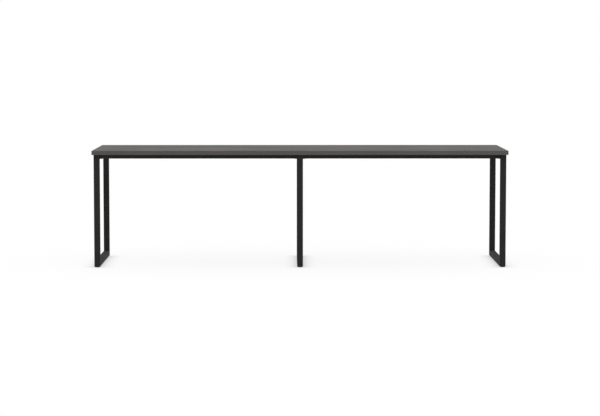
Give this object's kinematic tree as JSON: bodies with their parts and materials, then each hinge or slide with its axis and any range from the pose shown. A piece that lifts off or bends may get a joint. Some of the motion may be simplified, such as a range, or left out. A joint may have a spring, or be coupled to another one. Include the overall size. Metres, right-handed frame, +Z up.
{
  "type": "collaboration table",
  "caption": "Long rectangular meeting table: laminate worktop on slim steel rails and closed square-tube leg loops, with low screw-in levelling glides.",
  "frame": {"origin": "on the floor, under the middle of the worktop", "axes": "+X runs along the worktop from its left end to its right end as seen from the front, the front faces -Y, and +Z is up"},
  "size_m": [2.7, 0.75, 0.76],
  "materials": {
    "core": "raw particleboard",
    "laminate": "matt warm grey laminate with a faint grain",
    "backer": "plain backing sheet",
    "edge_band": "satin band in the laminate's grey",
    "frame_steel": "fine black powder coat",
    "bracket_steel": "fine black powder coat",
    "black_bolt": "black oxide",
    "zinc": "bright zinc plating",
    "brass": "turned",
    "nylon": "moulded black nylon"
  },
  "bodies": {
    "table": {"worktop_core": "core", "worktop_laminate": "laminate", "worktop_backer": "backer", "front_edge_band": "edge_band", "rear_edge_band": "edge_band", "left_edge_band": "edge_band", "right_edge_band": "edge_band", "left_front_leg": "frame_steel", "left_rear_leg": "frame_steel", "centre_front_leg": "frame_steel", "centre_rear_leg": "frame_steel", "right_front_leg": "frame_steel", "right_rear_leg": "frame_steel", "left_floor_rail": "frame_steel", "centre_floor_rail": "frame_steel", "right_floor_rail": "frame_steel", "left_cross_rail": "frame_steel", "centre_cross_rail": "frame_steel", "right_cross_rail": "frame_steel", "left_rail_saddles": "bracket_steel", "centre_rail_saddles": "bracket_steel", "right_rail_saddles": "bracket_steel", "left_cross_rail_angles": "bracket_steel", "centre_cross_rail_angles": "bracket_steel", "right_cross_rail_angles": "bracket_steel", "left_front_rail": "frame_steel", "left_rear_rail": "frame_steel", "right_front_rail": "frame_steel", "right_rear_rail": "frame_steel", "left_front_rail_angles": "bracket_steel", "left_rear_rail_angles": "bracket_steel", "right_front_rail_angles": "bracket_steel", "right_rear_rail_angles": "bracket_steel", "rail_nuts": "zinc", "rail_bolts": "black_bolt", "worktop_inserts": "brass", "worktop_screws": "zinc", "left_front_glide_plate": "zinc", "left_rear_glide_plate": "zinc", "centre_front_glide_plate": "zinc", "centre_rear_glide_plate": "zinc", "right_front_glide_plate": "zinc", "right_rear_glide_plate": "zinc"},
    "left_front_glide": {"left_front_glide_foot": "nylon", "left_front_glide_stem": "zinc"},
    "left_rear_glide": {"left_rear_glide_foot": "nylon", "left_rear_glide_stem": "zinc"},
    "centre_front_glide": {"centre_front_glide_foot": "nylon", "centre_front_glide_stem": "zinc"},
    "centre_rear_glide": {"centre_rear_glide_foot": "nylon", "centre_rear_glide_stem": "zinc"},
    "right_front_glide": {"right_front_glide_foot": "nylon", "right_front_glide_stem": "zinc"},
    "right_rear_glide": {"right_rear_glide_foot": "nylon", "right_rear_glide_stem": "zinc"}
  },
  "joints": [
    {"name": "left_front_levelling", "type": "slide", "parent": "table", "child": "left_front_glide", "axis": [0, 0, -1], "range_m": [0, 0.012]},
    {"name": "left_rear_levelling", "type": "slide", "parent": "table", "child": "left_rear_glide", "axis": [0, 0, -1], "range_m": [0, 0.012]},
    {"name": "centre_front_levelling", "type": "slide", "parent": "table", "child": "centre_front_glide", "axis": [0, 0, -1], "range_m": [0, 0.012]},
    {"name": "centre_rear_levelling", "type": "slide", "parent": "table", "child": "centre_rear_glide", "axis": [0, 0, -1], "range_m": [0, 0.012]},
    {"name": "right_front_levelling", "type": "slide", "parent": "table", "child": "right_front_glide", "axis": [0, 0, -1], "range_m": [0, 0.012]},
    {"name": "right_rear_levelling", "type": "slide", "parent": "table", "child": "right_rear_glide", "axis": [0, 0, -1], "range_m": [0, 0.012]}
  ]
}
